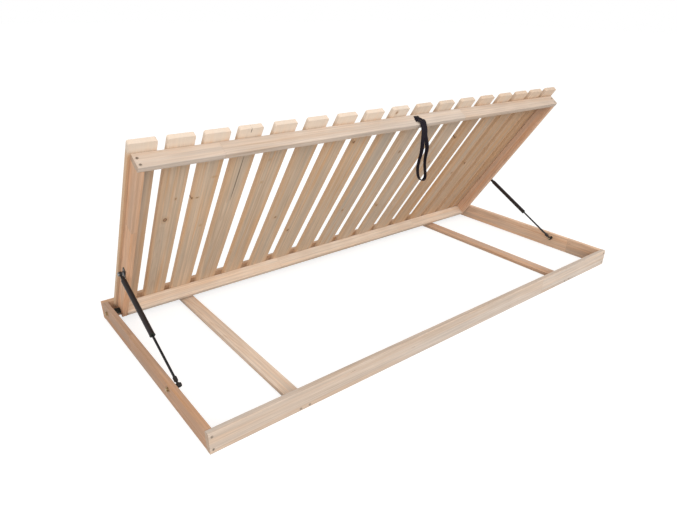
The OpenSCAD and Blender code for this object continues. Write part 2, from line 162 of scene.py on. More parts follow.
class NodeBuilder:
    """Builds one node tree out of small, typed steps.

    Attributes:
        KIND: How the type names of the tree and its nodes start.
        tree: The tree.
        given: A group's inputs.
        result: A group's output node.
    """

    KIND = ""

    def __init__(self, tree: NodeTree) -> None:
        """Starts on a tree."""
        self.tree = tree

    @classmethod
    def new_group(cls, name: str, inputs: dict[str, str], outputs: dict[str, str]) -> NodeBuilder:
        """Starts a node group.

        Args:
            name: The group's name.
            inputs: Names and kinds of its inputs.
            outputs: Names and kinds of its outputs.

        Returns:
            The group's builder.
        """
        group = cls(bpy.data.node_groups.new(name, cls.KIND + "NodeTree"))
        for sockets, way in ((inputs, "INPUT"), (outputs, "OUTPUT")):
            for socket, kind in sockets.items():
                group.tree.interface.new_socket(socket, in_out=way, socket_type="NodeSocket" + kind)
        group.given = group.tree.nodes.new("NodeGroupInput").outputs
        group.result = group.tree.nodes.new("NodeGroupOutput")
        return group

    @staticmethod
    def out(made: Node) -> Socket:
        """The first output that a node shows."""
        return next(socket for socket in made.outputs if socket.enabled)

    def feed(self, socket: Socket, value: object) -> None:
        """Links a socket to another, or sets its value.

        Args:
            socket: The input socket.
            value: An output socket or a constant. A colour may leave out its alpha.
        """
        if isinstance(value, Socket):
            self.tree.links.new(value, socket)
        elif isinstance(value, (tuple, Vector)):
            missing = len(socket.default_value) - len(value)
            socket.default_value = list(value) + [1.0] * missing
        else:
            socket.default_value = value

    def fill(self, made: Node, *values: object) -> Socket:
        """Feeds a node's inputs in their order and returns its output."""
        for socket, value in zip([s for s in made.inputs if s.enabled], values):
            self.feed(socket, value)
        return self.out(made)

    def plug(self, made: Node, **sockets: object) -> Node:
        """Feeds a node's inputs by name, with underscores for spaces, and returns it."""
        for name, value in sockets.items():
            wanted = name.replace("_", " ")
            self.feed(next(s for s in made.inputs if s.name == wanted and s.enabled), value)
        return made

    def node(self, kind: str, settings: dict[str, object] | None = None, **sockets: object) -> Node:
        """Adds a node.

        Args:
            kind: The node's type name, without the start that the tree's nodes share.
            settings: Properties of the node to set.
            sockets: What its inputs get, as plug takes it.

        Returns:
            The new node.
        """
        made = self.tree.nodes.new(self.KIND + "Node" + kind)
        for name, value in (settings or {}).items():
            setattr(made, name, value)
        return self.plug(made, **sockets)


class ShaderTree(NodeBuilder):
    """Adds the shader nodes that the finishes share."""

    KIND = "Shader"

    def math(self, operation: str, *values: object) -> Socket:
        """Adds a Math node and returns its result."""
        return self.fill(self.node("Math", {"operation": operation}), *values)

    def vector(self, operation: str, *values: object) -> Socket:
        """Adds a Vector Math node and returns its result. SCALE takes its factor second."""
        return self.fill(self.node("VectorMath", {"operation": operation}), *values)

    def times(self, first: object, second: object) -> Socket:
        """The product of two numbers."""
        return self.math("MULTIPLY", first, second)

    def mix(self, factor: object, first: object, second: object, mode: str = "MIX") -> Socket:
        """Mixes two colours.

        Args:
            factor: How much of the second colour shows.
            first: The colour at factor 0.
            second: The colour at factor 1.
            mode: The blend mode.

        Returns:
            The mixed colour.
        """
        settings = {"data_type": "RGBA", "blend_type": mode}
        return self.out(self.node("Mix", settings, Factor=factor, A=first, B=second))

    def ramp(
        self, value: object, low: float, high: float, out_low: float = 0.0, out_high: float = 1.0,
    ) -> Socket:
        """Maps a value smoothly from one range to another.

        Args:
            value: The value to map.
            low: Where the output is out_low.
            high: Where the output is out_high.
            out_low: The output at low.
            out_high: The output at high.

        Returns:
            The mapped value, held at its ends.
        """
        made = self.node("MapRange", {"interpolation_type": "SMOOTHSTEP"}, Value=value)
        return self.out(self.plug(made, From_Min=low, From_Max=high, To_Min=out_low, To_Max=out_high))

    def noise(self, vector: object, scale: float, detail: float, roughness: float = 0.5) -> Socket:
        """Adds a 3D noise on a vector and returns its value."""
        made = self.node("TexNoise", Vector=vector, Scale=scale, Detail=detail, Roughness=roughness)
        return self.out(made)

    def wood_noise(self, vector: Socket, kind: WoodNoise) -> Socket:
        """Adds one of the wood's noises on a vector and returns its value."""
        stretch, detail, roughness = kind.value
        return self.noise(self.vector("MULTIPLY", vector, stretch), 1.0, detail, roughness)

    def noise_line(self, value: object, scale: float, detail: float = 1.0) -> Socket:
        """Adds a 1D noise on a number and returns its value."""
        settings = {"noise_dimensions": "1D"}
        return self.out(self.node("TexNoise", settings, W=value, Scale=scale, Detail=detail))

    def parts(self, vector: object) -> tuple[Socket, ...]:
        """The X, Y and Z of a vector."""
        return tuple(self.node("SeparateXYZ", Vector=vector).outputs)

    def coordinates(self, kind: str = "Object") -> Socket:
        """One kind of texture coordinates."""
        return self.node("TexCoord").outputs[kind]


class MaterialTree(ShaderTree):
    """Builds a new material.

    Attributes:
        material: The material.
        shader: Its Principled shader.
    """

    def __init__(self, name: str) -> None:
        """Starts a material of that name."""
        self.material = bpy.data.materials.new(name)
        self.material.use_nodes = True
        super().__init__(self.material.node_tree)
        self.shader = self.tree.nodes["Principled BSDF"]

    def bump(self, height: object, distance: float, strength: float) -> None:
        """Puts a bump on the shader, its distance in metres."""
        made = self.node("Bump", Height=height, Distance=distance, Strength=strength)
        self.plug(self.shader, Normal=self.out(made))


def put_on(obj: Object, material: Material) -> None:
    """Gives an object one material in all its slots."""
    if not obj.material_slots:
        obj.data.materials.append(material)
    for slot in obj.material_slots:
        slot.material = material


def put_up(name: str, data: bpy.types.ID) -> Object:
    """Makes an object of its data and puts it in the scene."""
    obj = bpy.data.objects.new(name, data)
    bpy.context.scene.collection.objects.link(obj)
    return obj


@dataclass(frozen=True)
class PineGrain:
    """The wood itself: rings about a pith, fibres and broad streaks.

    Attributes:
        wander: How far the rings wander from true circles, in metres.
        ring: How dark a year's ring is from its start to its end.
        late_share: How much of the late wood's colour shows.
        end_grain: How much darker the wood is on a board's ends.
    """

    wander: float = 0.010
    ring: tuple[tuple[float, float], ...] = (
        (0.0, 0.10), (0.08, 0.0), (0.50, 0.12), (0.86, 0.85), (0.95, 1.0), (1.0, 0.10),
    )
    late_share: float = 0.62
    end_grain: Colour = (0.86, 0.78, 0.70)

    def late_wood(self, t: ShaderTree, moved: Socket) -> Socket:
        """Where the dark end of a year's ring lies.

        Args:
            t: The group's builder.
            moved: The board's coordinates, moved by its seed.

        Returns:
            How much late wood a point has.
        """
        board = t.given
        slow = t.wood_noise(moved, WoodNoise.DRIFT).node.outputs["Color"]
        shift = t.vector("SCALE", t.vector("SUBTRACT", slow, (0.5, 0.5, 0.5)), self.wander)
        lean = t.vector("SCALE", board["Lean"], t.parts(board["Vector"])[1])
        axis = t.vector("ADD", board["Pith"], lean)
        spoke = t.vector("ADD", t.vector("SUBTRACT", board["Vector"], axis), shift)
        round_pith = t.vector("LENGTH", t.vector("MULTIPLY", spoke, (1.0, 0.0, 1.0)))
        radius = t.math("ADD", round_pith, board["Swell"])
        uneven = t.times(t.noise_line(t.math("ADD", radius, board["Seed"]), 70.0, 2.0), 2.2)
        phase = t.math("ADD", t.math("DIVIDE", radius, board["Ring Pitch"]), uneven)
        ring = t.node("ValToRGB")
        stops = ring.color_ramp.elements
        for place, _ in self.ring[1:-1]:
            stops.new(place)
        for stop, (_, dark) in zip(stops, self.ring):
            stop.color = (dark, dark, dark, 1.0)
        year = t.ramp(t.noise_line(t.math("FLOOR", phase), 0.61), 0.3, 0.7, 0.35, 1.0)
        return t.times(t.fill(ring, t.math("FRACT", phase)), year)

    def build(self) -> NodeTree:
        """Builds the shader group that every board's material uses.

        Returns:
            The group, with the board's own vector and colours as inputs.
        """
        inputs = dict.fromkeys(("Vector", "Pith", "Lean"), "Vector")
        inputs |= dict.fromkeys(("Seed", "Ring Pitch", "Swell", "End Grain"), "Float")
        inputs |= dict.fromkeys(("Early", "Late", "Streak", "Grey"), "Color")
        outputs = {"Color": "Color", "Roughness": "Float", "Height": "Float"}
        t = ShaderTree.new_group("pine_grain", inputs, outputs)
        board = t.given
        offset = t.vector("SCALE", (13.1, 7.7, 5.3), board["Seed"])
        moved = t.vector("ADD", board["Vector"], offset)
        late = self.late_wood(t, moved)
        fibre, strand, streak, grey, patch = (t.wood_noise(moved, kind) for kind in (
            WoodNoise.FIBRE, WoodNoise.STRAND, WoodNoise.STREAK, WoodNoise.GREY, WoodNoise.PATCH,
        ))
        colour = t.mix(t.times(late, self.late_share), board["Early"], board["Late"])
        colour = t.mix(t.ramp(streak, 0.46, 0.66, 0.0, 0.85), colour, board["Streak"])
        colour = t.mix(t.ramp(grey, 0.45, 0.66, 0.0, 0.75), colour, board["Grey"])
        tone = t.times(t.ramp(fibre, 0.25, 0.75, 0.90, 1.07), t.ramp(patch, 0.3, 0.7, 0.96, 1.04))
        tone = t.times(tone, t.ramp(strand, 0.30, 0.68, 1.07, 0.86))
        colour = t.vector("SCALE", colour, tone)
        colour = t.mix(board["End Grain"], colour, t.vector("MULTIPLY", colour, self.end_grain))
        dull = t.math("MULTIPLY_ADD", late, -0.12, 0.60)
        t.plug(
            t.result, Color=colour, Roughness=t.math("MULTIPLY_ADD", fibre, 0.10, dull),
            Height=t.math("MULTIPLY_ADD", fibre, 0.7, t.times(late, 0.5)),
        )
        return t.tree


@dataclass(frozen=True)
class KnotMark:
    """The shader group that measures one knot.

    Attributes:
        ragged: How ragged its outline is, as a share of its size.
        fineness: Cycles per metre of that raggedness.
    """

    ragged: float = 0.30
    fineness: float = 260.0

    def build(self) -> NodeTree:
        """Builds the group.

        Returns:
            The group, which gives how much core, bark rim and halo a point has, and how
            far the knot pushes the rings aside.
        """
        inputs = dict.fromkeys(("Vector", "Centre", "Shrink"), "Vector")
        outputs = dict.fromkeys(("Core", "Rim", "Halo", "Push"), "Float")
        t = ShaderTree.new_group("pine_knot", inputs, outputs)
        vector = t.given["Vector"]
        away = t.vector("SUBTRACT", vector, t.given["Centre"])
        local = t.vector("MULTIPLY", away, t.given["Shrink"])
        rough = t.math("SUBTRACT", t.noise(vector, self.fineness, 2.0), 0.5)
        distance = t.math("ADD", t.vector("LENGTH", local), t.times(rough, self.ragged))
        rings = t.math("MULTIPLY_ADD", t.math("FRACT", t.times(distance, 4.0)), 0.25, 0.75)
        t.plug(
            t.result, Core=t.times(t.ramp(distance, 1.05, 0.85), rings),
            Rim=t.times(t.ramp(distance, 0.70, 0.96), t.ramp(distance, 1.22, 1.0)),
            Halo=t.ramp(distance, 3.2, 0.9), Push=t.ramp(distance, 5.0, 0.4),
        )
        return t.tree


@dataclass
class Board:
    """One planed board of the frame, with its own piece of timber.

    Attributes:
        node: The board's CAD node.
        along: Unit direction of the grain.
        across: Unit direction across the wide face.
        tone: The batch of pine.
        seed: Which piece of timber it is.
        sawing: How it was cut from the log.
        knots: Knots and cracks on its wide faces.
        joints: Places of finger joints along the board, from its middle, in millimetres.
        warm_sides: How much warmer the wood gets towards the wide face's long edges.
        painted_light_end: How much painted light lightens the underside of a slat's free end.
        ring_pitch: Width of a year's ring.
        finger: Length of a finger in a joint.
        finger_pitch: Distance between two fingers.
    """

    node: str
    along: Vector
    across: Vector
    tone: PineTone
    seed: float
    sawing: Sawing = Sawing.FLAT
    knots: list[Knot] = field(default_factory=list)
    joints: list[float] = field(default_factory=list)
    warm_sides: float = 0.0
    painted_light_end: float = 0.0
    ring_pitch: float = 3.4 * MM
    finger: float = 5.0 * MM
    finger_pitch: float = 4.4 * MM

    def axes(self) -> Matrix:
        """The turn from the frame's axes to the board's: across, along, through."""
        return Matrix((self.across, self.along, self.across.cross(self.along)))

    def middle(self, obj: Object) -> Vector:
        """Finds the middle of the box about the board.

        Args:
            obj: The board's object.

        Returns:
            The middle, in the board's own axes.
        """
        turn = self.axes()
        corners = [turn @ v.co for v in obj.data.vertices]
        low = Vector([min(c[i] for c in corners) for i in range(3)])
        high = Vector([max(c[i] for c in corners) for i in range(3)])
        return (low + high) / 2

    def pith(self) -> tuple[Vector, Vector]:
        """Where the log's pith runs, seen from the board's middle.

        Returns:
            The pith's place and its lean along the board.
        """
        swing = math.sin(self.seed * 12.9)
        sway = math.cos(self.seed * 7.3)
        side = 1.0 if swing > 0 else -1.0
        if self.sawing is Sawing.FLAT:
            return Vector((0.018 * sway, 0, side * 0.055)), Vector((0.012 * swing, 0, 0.030 * sway))
        if self.sawing is Sawing.HEART:
            return Vector((0.010 * sway, 0, side * 0.014)), Vector((0.010 * swing, 0, 0.012 * sway))
        return Vector((side * 0.090, 0, 0.035 * sway)), Vector((0.010 * swing, 0, 0.014 * sway))

    def dress(self, obj: Object, grain: NodeTree, mark: NodeTree) -> None:
        """Gives the board its own timber.

        Args:
            obj: The board's object.
            grain: The wood's shader group.
            mark: The knot's shader group.
        """
        t = MaterialTree("pine_" + self.node)
        turn, middle = self.axes().to_euler(), self.middle(obj)
        vector = t.out(t.node("Mapping", Vector=t.coordinates(), Rotation=turn, Location=-middle))
        kind = {"vector_type": "VECTOR"}
        facing = t.out(t.node("Mapping", kind, Vector=t.coordinates("Normal"), Rotation=turn))
        lengthwise = t.math("ABSOLUTE", t.vector("DOT_PRODUCT", facing, (0, 1, 0)))
        seed, tint, line = self._pieces(t, vector)
        core, rim, halo, push = self._knots(t, vector, mark)
        pith, lean = self.pith()
        wood = t.node(
            "Group", {"node_tree": grain}, Vector=vector, Seed=seed, Pith=pith, Lean=lean,
            Ring_Pitch=self.ring_pitch, Swell=push, Early=self.tone.early, Late=self.tone.late,
            Streak=self.tone.streak, Grey=self.tone.grey, End_Grain=t.ramp(lengthwise, 0.55, 0.9),
        ).outputs
        colour = t.mix(1.0, wood["Color"], tint, "MULTIPLY")
        colour = self._warm_sides_and_painted_light_end(t, vector, facing, colour)
        marks = ((halo, KNOT_HALO), (core, KNOT_CORE), (rim, KNOT_BARK), (line, GLUE_LINE))
        for share, stain in marks:
            colour = t.mix(share, colour, stain)
        t.plug(t.shader, Base_Color=colour, Roughness=wood["Roughness"], Specular_IOR_Level=0.35)
        t.bump(wood["Height"], distance=0.25 * MM, strength=0.35)
        put_on(obj, t.material)

    def _warm_sides_and_painted_light_end(self, t: ShaderTree, vector: Socket, facing: Socket, colour: Socket) -> Socket:
        """Warms a slat's long sides and paints light on the underside of its free end.

        Args:
            t: The material's builder.
            vector: The board's own coordinates.
            facing: Which way the surface looks, in the board's axes.
            colour: The wood's colour.

        Returns:
            The colour with both changes, or as it was for a rail.
        """
        x, y, _ = t.parts(vector)
        if self.warm_sides:
            drift = t.wood_noise(vector, WoodNoise.SIDE)
            reach = t.math("MULTIPLY_ADD", drift, 30 * MM, t.math("ABSOLUTE", x))
            warm = t.ramp(reach, 36 * MM, 52 * MM, 0.0, self.warm_sides)
            colour = t.mix(warm, colour, self.tone.streak)
        # Painted light: the underside of the free end is lightened towards the painted lit colour, standing
        # in for light that the tips catch.
        if self.painted_light_end:
            under = t.ramp(t.parts(facing)[2], -0.5, 0.1)
            end = t.ramp(y, 376 * MM, 404 * MM, 0.0, self.painted_light_end)
            colour = t.mix(t.times(under, end), colour, PAINTED_LIT_END)
        return colour

    def _pieces(self, t: ShaderTree, vector: Socket) -> tuple[Socket, Socket, object]:
        """Splits the board at its finger joints.

        Args:
            t: The material's builder.
            vector: The board's own coordinates.

        Returns:
            The seed and the tint of each piece, and the joints' fine dark lines.
        """
        x, y, _ = t.parts(vector)
        zigzag = t.math("PINGPONG", x, self.finger_pitch / 2)
        place = t.math("MULTIPLY_ADD", zigzag, 2 * self.finger / self.finger_pitch, y)
        piece, line = 0.0, 0.0
        for joint in self.joints:
            beyond = t.math("SUBTRACT", place, joint * MM)
            piece = t.math("ADD", piece, t.math("GREATER_THAN", beyond, 0.0))
            gap = t.ramp(t.math("ABSOLUTE", beyond), 0.6 * MM, 0.2 * MM, 0.0, 0.5)
            line = t.math("MAXIMUM", line, gap)
        seed = t.math("MULTIPLY_ADD", piece, 3.71, self.seed)
        dark = t.node("TexWhiteNoise", {"noise_dimensions": "1D"}, W=seed)
        return seed, t.mix(t.out(dark), (0.94, 0.92, 0.90), (1.04, 1.04, 1.04)), line

    def _knots(self, t: ShaderTree, vector: Socket, mark: NodeTree) -> tuple[object, ...]:
        """Measures all knots of the board.

        Args:
            t: The material's builder.
            vector: The board's own coordinates.
            mark: The knot's shader group.

        Returns:
            The core, the rim, the halo and the rings' push, each over all the knots.
        """
        core, rim, halo, push = 0.0, 0.0, 0.0, 0.0
        for knot in self.knots:
            size = Vector((1 / (knot.half_width * MM), 1 / (knot.half_length * MM), 0.0))
            at = Vector((knot.across * MM, knot.along * MM, 0.0))
            seen = t.node("Group", {"node_tree": mark}, Vector=vector, Centre=at, Shrink=size).outputs
            heart, bark = knot.kind.value
            if knot.kind is KnotKind.CRACK:
                rim = t.math("MAXIMUM", rim, t.times(seen["Core"], bark))
                continue
            core = t.math("MAXIMUM", core, t.times(seen["Core"], heart))
            rim = t.math("MAXIMUM", rim, t.times(seen["Rim"], bark))
            halo = t.math("MAXIMUM", halo, t.times(seen["Halo"], 0.40))
            push = t.math("MULTIPLY_ADD", seen["Push"], 1.2 * knot.half_width * MM, push)
        return core, rim, halo, push


@dataclass(frozen=True)
class PaintFinish:
    """Black paint or moulded plastic, with dusty patches and a fine orange peel.

    Attributes:
        name: The material's name.
        colour: The surface's colour, in linear values.
        dull: The colour of its dull patches.
        rough: Its middle roughness.
        gloss: The shader's specular level.
        metallic: How metallic it is.
        patches: Scale and roughness of the patches' noise.
        dulled: Where on that noise the dull colour starts, where it is full and how full.
        uneven: How much the patches change the roughness.
        peel: Scale and roughness of the bump's noise.
        depth: Depth of the bump, in metres.
        strength: Strength of the bump.
    """

    name: str
    colour: Colour
    dull: Colour
    rough: float
    gloss: float = 0.3
    metallic: float = 0.0
    patches: tuple[float, float] = (55.0, 0.65)
    dulled: Point = (0.45, 0.80, 0.6)
    uneven: float = 0.24
    peel: tuple[float, float] = (1400.0, 0.5)
    depth: float = 0.04 * MM
    strength: float = 0.3

    def build(self) -> Material:
        """Builds the material.

        Returns:
            The material.
        """
        t = MaterialTree(self.name)
        vector = t.coordinates()
        patches, peel = (
            t.noise(vector, scale, detail, roughness)
            for (scale, roughness), detail in ((self.patches, 4.0), (self.peel, 2.0))
        )
        start, full, most = self.dulled
        t.plug(
            t.shader, Base_Color=t.mix(t.ramp(patches, start, full, 0.0, most), self.colour, self.dull),
            Roughness=t.math("MULTIPLY_ADD", patches, self.uneven, self.rough - 0.12),
            Metallic=self.metallic, Specular_IOR_Level=self.gloss,
        )
        t.bump(peel, self.depth, self.strength)
        return t.material


@dataclass(frozen=True)
class MetalFinish(PaintFinish):
    """A metal surface with a fine bump and dull patches."""

    gloss: float = 0.5
    metallic: float = 1.0
    patches: tuple[float, float] = (160.0, 0.6)
    dulled: Point = (0.35, 0.68, 1.0)
    uneven: float = 0.25
    peel: tuple[float, float] = (2240.0, 0.6)
    depth: float = 0.05 * MM
    strength: float = 0.25


ZINC = MetalFinish("zinc_plate", (0.30, 0.30, 0.31), (0.18, 0.18, 0.18), 0.42)
YELLOW_ZINC = MetalFinish("yellow_zinc", (0.50, 0.37, 0.22), (0.26, 0.17, 0.09), 0.40)
SCREW_ZINC = MetalFinish("screw_zinc", (0.42, 0.34, 0.27), (0.25, 0.20, 0.16), 0.45, metallic=0.7)
ROD_STEEL = MetalFinish("rod_steel", (0.040, 0.040, 0.043), (0.025, 0.024, 0.024), 0.26)
EYE_STEEL = PaintFinish("eye_steel", (0.014, 0.012, 0.011), (0.040, 0.034, 0.030), 0.42)
TUBE_PAINT = PaintFinish("tube_paint", (0.013, 0.008, 0.008), (0.026, 0.018, 0.016), 0.34, 0.32)
BLACK_PLASTIC = PaintFinish("black_plastic", (0.010, 0.013, 0.009), (0.030, 0.034, 0.027), 0.48, 0.25)


@dataclass(frozen=True)
class WebbingFinish:
    """Dark woven webbing, read along and across the strap.

    Attributes:
        weft: Distance between two ribs along the strap.
        warp: Distance between two warp threads across the strap.
        colour: The threads' colour, in linear values.
        light: The colour on top of the threads.
        first: Threads to count from, so that no thread has a negative number.
    """

    weft: float = 1.3 * MM
    warp: float = 1.1 * MM
    colour: Colour = (0.004, 0.0025, 0.005)
    # light: The painted highlight's colour on top of the threads.
    light: Colour = (0.020, 0.013, 0.026)
    first: float = 100.0

    def build(self) -> Material:
        """Builds the material.

        Returns:
            The material, which reads the strap's own along and across attributes.
        """
        t = MaterialTree("strap_webbing")
        along, across = (
            t.node("Attribute", {"attribute_name": name}).outputs["Fac"]
            for name in (PullStrap.ALONG, PullStrap.ACROSS)
        )
        column = t.math("ADD", t.math("DIVIDE", across, self.warp), self.first)
        shift = t.times(t.math("MODULO", t.math("FLOOR", column), 2.0), 0.5)
        row = t.math("ADD", t.math("DIVIDE", along, self.weft), shift)
        rib, thread = (t.math("SINE", t.times(t.math("FRACT", n), math.pi)) for n in (row, column))
        weave = t.times(rib, thread)
        # Painted highlight: the thread tops are lightened towards the light colour, more in some patches
        # than in others.
        patchy_highlight = t.ramp(t.noise(t.coordinates(), 90.0, 3.0, 0.6), 0.3, 0.7, 0.6, 1.0)
        lit = t.times(t.ramp(weave, 0.15, 0.95), patchy_highlight)
        t.plug(
            t.shader, Base_Color=t.mix(lit, self.colour, self.light), Roughness=0.78,
            Specular_IOR_Level=0.16, Sheen_Weight=0.03, Sheen_Roughness=0.4,
        )
        t.bump(weave, distance=0.35 * MM, strength=0.8)
        return t.material


@dataclass
class PanelPose:
    """The slat panel's own axes in the frame, worked out from its hinge joint.

    Attributes:
        pivot: A point on the pivot axis.
        opening: The opening angle in radians.
    """

    pivot: Vector
    opening: float

    @classmethod
    def of_joint(cls, joint: dict) -> PanelPose:
        """Reads the pose from the hinge joint, whose travel from rest shuts the panel."""
        return cls(Vector(joint["pos_m"]), math.radians(abs(min(joint["range_deg"]))))

    @property
    def out(self) -> Vector:
        """Unit direction from the pivot to the panel's free edge."""
        return Vector((0, -math.cos(self.opening), math.sin(self.opening)))

    @property
    def up(self) -> Vector:
        """Unit direction from the panel's rails to its slats."""
        return Vector((0, math.sin(self.opening), math.cos(self.opening)))

    def place(self, x: float, out: float, up: float) -> Vector:
        """The point of the panel at x along the bed, this far out and up from the pivot."""
        return Vector((x, self.pivot.y, self.pivot.z)) + self.out * out + self.up * up


@dataclass
class BoardWork:
    """A sub-assembly of boards that share the wood's shader groups.

    Attributes:
        nodes: The CAD nodes' objects by name.
        grain: The wood's shader group.
        mark: The knot's shader group.
    """

    nodes: dict[str, Object]
    grain: NodeTree
    mark: NodeTree

    def boards(self) -> list[Board]:
        """Lists the boards with their timber."""
        raise NotImplementedError

    def dress(self) -> None:
        """Dresses the boards and reports each."""
        for board in self.boards():
            board.dress(self.nodes[board.node], self.grain, self.mark)
            log.info("board %s", board.node)


@dataclass
class BaseFrame(BoardWork):
    """The frame that lies flat: four rails, two crossbars and their screws."""

    def boards(self) -> list[Board]:
        """Lists the boards with their timber.

        Returns:
            The six boards.
        """
        spots = ((-250, 2, 0.6, 10), (-513, 20, 0.5, 12), (285, -20, 0.6, 9))
        flecks = [Knot(*spot, KnotKind.CRACK) for spot in spots]
        rift, flat, pale, warm = Sawing.RIFT, Sawing.FLAT, PALE_PINE.times, WARM_PINE.times
        return [
            Board("base_front_rail", X, Z, pale(0.87, 0.90, 0.95), 1.13, rift, flecks, [505]),
            Board("base_back_rail", X, Z, warm(1.02, 0.95, 0.88), 2.41, rift, [], [-610, 260]),
            Board("base_left_rail", Y, Z, DEEP_PINE.times(1.00, 0.94, 0.87), 3.72, flat, [], [150]),
            Board("base_right_rail", Y, Z, warm(1.31, 1.33, 1.36), 4.35, flat, [], [-265]),
            Board("left_crossbar", Y, X, pale(1.14, 1.15, 1.17), 5.64, flat),
            Board("right_crossbar", Y, X, warm(1.10, 1.07, 1.08), 6.87, rift),
        ]


@dataclass
class SlatPanel(BoardWork):
    """The panel that lifts: four rails and its row of slats.

    Attributes:
        pose: The panel's axes.
        slat_middle: From the pivot to a slat's middle, in millimetres.
        amber_slats: How many slats at the right end are of amber pine.
        warm_sides: How much warmer a slat's long edges are.
        painted_light_ends: How much painted light lightens the undersides of the free ends, in the left and
            the right half.
    """

    pose: PanelPose
    slat_middle: float = 406.0
    amber_slats: int = 5
    warm_sides: float = 0.55
    painted_light_ends: tuple[float, float] = (0.75, 0.48)

    def slat_marks(self) -> dict[int, list[Knot]]:
        """Knots of the slats, by the slat's number from the left.

        Returns:
            The knots, their places along the slat counted from its middle.
        """
        sound, dead, faint, crack = KnotKind.SOUND, KnotKind.DEAD, KnotKind.FAINT, KnotKind.CRACK
        spots = [
            (2, 467, -9, 6, 8, dead), (2, 566, 14, 2.5, 4, sound), (3, 553, -38, 3, 4, dead),
            (3, 551, -20, 4, 2.5, sound), (3, 392, 17, 3, 4, faint), (3, 640, 22, 5, 3, faint),
            (4, 612, 0, 1.9, 118, crack), (4, 821, -1.5, 1.6, 9, crack), (5, 677, -17, 3, 4, faint),
            (5, 566, -17, 3, 4, faint), (6, 330, -10, 4, 5, sound), (7, 211, -34, 4, 6, dead),
            (8, 694, -36, 3.5, 5, dead), (9, 258, -10, 4, 6, sound), (9, 815, -19, 4, 6, sound),
            (10, 591, 9, 4, 6, dead), (11, 227, -36, 4, 6, sound), (12, 480, 15, 3.5, 6, sound),
            (13, 615, -36, 4, 6, dead), (14, 350, 20, 4, 5, sound), (15, 407, -36, 3.5, 6, dead),
            (15, 494, 35, 4, 6, sound), (17, 600, 10, 4, 6, sound),
        ]
        marks: dict[int, list[Knot]] = {}
        for slat, out, *rest in spots:
            marks.setdefault(slat, []).append(Knot(out - self.slat_middle, *rest))
        return marks

    def boards(self) -> list[Board]:
        """Lists the rails and slats with their timber.

        Returns:
            The four rails, then the slats from the left.
        """
        out, up, rift, flat = self.pose.out, self.pose.up, Sawing.RIFT, Sawing.FLAT
        front, warm = PALE_PINE.times(0.88, 0.90, 0.94), WARM_PINE.times
        boards = [
            Board("panel_front_rail", X, up, front, 7.31, rift, [], [-700, 330]),
            Board("panel_back_rail", X, up, PALE_PINE, 8.92, rift, [], [-260, 560]),
            Board("panel_left_rail", out, up, warm(1.12, 1.00, 0.91), 9.47, flat, [], [130]),
            Board("panel_right_rail", out, up, warm(1.21, 1.18, 1.20), 10.83, flat),
        ]
        marks, cuts = self.slat_marks(), (flat, Sawing.HEART, flat, rift)
        names = sorted(name for name in self.nodes if name[:5] == "slat_" and name[5:].isdigit())
        half, amber_after = len(names) / 2, len(names) - self.amber_slats
        for number, name in enumerate(names, start=1):
            usual = SLAT_PINE.times(0.95, 0.99, 1.05) if number > half else SLAT_PINE
            boards.append(Board(
                name, out, X, AMBER_PINE if number > amber_after else usual, 20 + 1.377 * number,
                cuts[number % len(cuts)], marks.get(number, []), [392] if number == 1 else [],
                self.warm_sides, self.painted_light_ends[1 if number > half + 1 else 0],
            ))
        return boards


@dataclass
class Hardware:
    """Bolts, screws, spacers, brackets and the two gas struts."""

    nodes: dict[str, Object]

    def dress(self) -> None:
        """Gives every metal or plastic node its finish and reports it."""
        by_finish = {
            ZINC: "strut_stud", YELLOW_ZINC: "lower_bolts pivot_bolt", ROD_STEEL: "strut_rod",
            SCREW_ZINC: "corner_screws crossbar_screws slat_screws bracket_screws",
            EYE_STEEL: "strap_screw lower_nuts strut_bracket rod_eye tube_eye",
            TUBE_PAINT: "strut_tube", BLACK_PLASTIC: "lower_spacers pivot_spacer strut_gland",
        }
        for finish, endings in by_finish.items():
            material = finish.build()
            for name in [n for n in self.nodes if n.endswith(tuple(endings.split()))]:
                put_on(self.nodes[name], material)
                log.info("hardware %s in %s", name, material.name)


class GeometryTree(NodeBuilder):
    """Builds one Geometry Nodes tree and runs it on a mesh."""

    KIND = "Geometry"

    def store(self, geometry: Socket, name: str, value: Socket) -> Socket:
        """Stores a number on each point under a name, and returns the geometry."""
        settings = {"data_type": "FLOAT", "domain": "POINT"}
        made = self.node("StoreNamedAttribute", settings, Geometry=geometry, Name=name, Value=value)
        return self.out(made)

    def finish(self, geometry: Socket) -> None:
        """Ends the tree in Realize Instances and Set Material."""
        real = self.out(self.node("RealizeInstances", Geometry=geometry))
        painted = self.node("SetMaterial", Geometry=real, Material=self.given["Material"])
        self.plug(self.result, Geometry=self.out(painted))

    def run(self, name: str, mesh: Mesh, values: dict[str, object]) -> Object:
        """Runs the tree on a mesh.

        Args:
            name: The new object's name.
            mesh: The mesh that it starts from.
            values: The inputs' values by name.

        Returns:
            An object with the resulting plain mesh and no modifier.
        """
        start = put_up(name + "_start", mesh)
        modifier = start.modifiers.new("nodes", "NODES")
        modifier.node_group = self.tree
        sockets = {s.name: s.identifier for s in self.tree.interface.items_tree if s.in_out == "INPUT"}
        for socket, value in values.items():
            modifier[sockets[socket]] = value
        graph = bpy.context.evaluated_depsgraph_get()
        made = bpy.data.meshes.new_from_object(start.evaluated_get(graph), depsgraph=graph)
        bpy.data.objects.remove(start)
        made.name = name
        return put_up(name, made)


